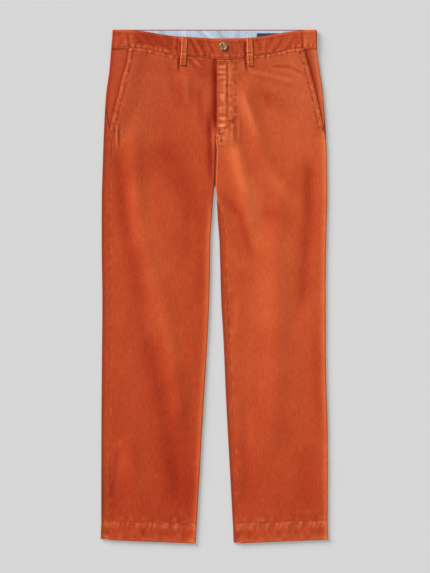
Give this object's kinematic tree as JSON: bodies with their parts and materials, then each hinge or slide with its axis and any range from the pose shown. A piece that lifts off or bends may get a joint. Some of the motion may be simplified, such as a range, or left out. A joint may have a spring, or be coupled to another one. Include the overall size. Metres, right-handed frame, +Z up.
{
  "type": "corduroy trousers laid flat",
  "caption": "Straight-leg corduroy trousers laid flat, front up, with slanted pockets, belt loops, buttoned waistband and lapped fly.",
  "frame": {"origin": "centre of the outline on the flat surface that the trousers lie on", "axes": "+Y along the length towards the waist, +Z up from the surface out of the front, +X towards the wearer's left"},
  "size_m": [0.4658, 1.051, 0.0139],
  "materials": {
    "corduroy": "burnt orange fine-wale cotton corduroy, soft napped pile",
    "chambray": "light blue woven cotton chambray, matt",
    "label": "plain navy woven tape, slight satin sheen",
    "horn": "mottled olive-brown horn, satin polish"
  },
  "bodies": {
    "root": {"front_right": "corduroy", "front_left": "corduroy", "back_right": "corduroy", "back_left": "corduroy", "pocket_facing_right": "corduroy", "pocket_facing_left": "corduroy", "waistband_right": "corduroy", "waistband_left": "corduroy", "belt_loop_front_right": "corduroy", "belt_loop_front_left": "corduroy", "belt_loop_back_right": "corduroy", "belt_loop_back_center": "corduroy", "belt_loop_back_left": "corduroy", "waistband_lining": "chambray", "waist_label": "label", "waist_button": "horn"}
  },
  "joints": []
}
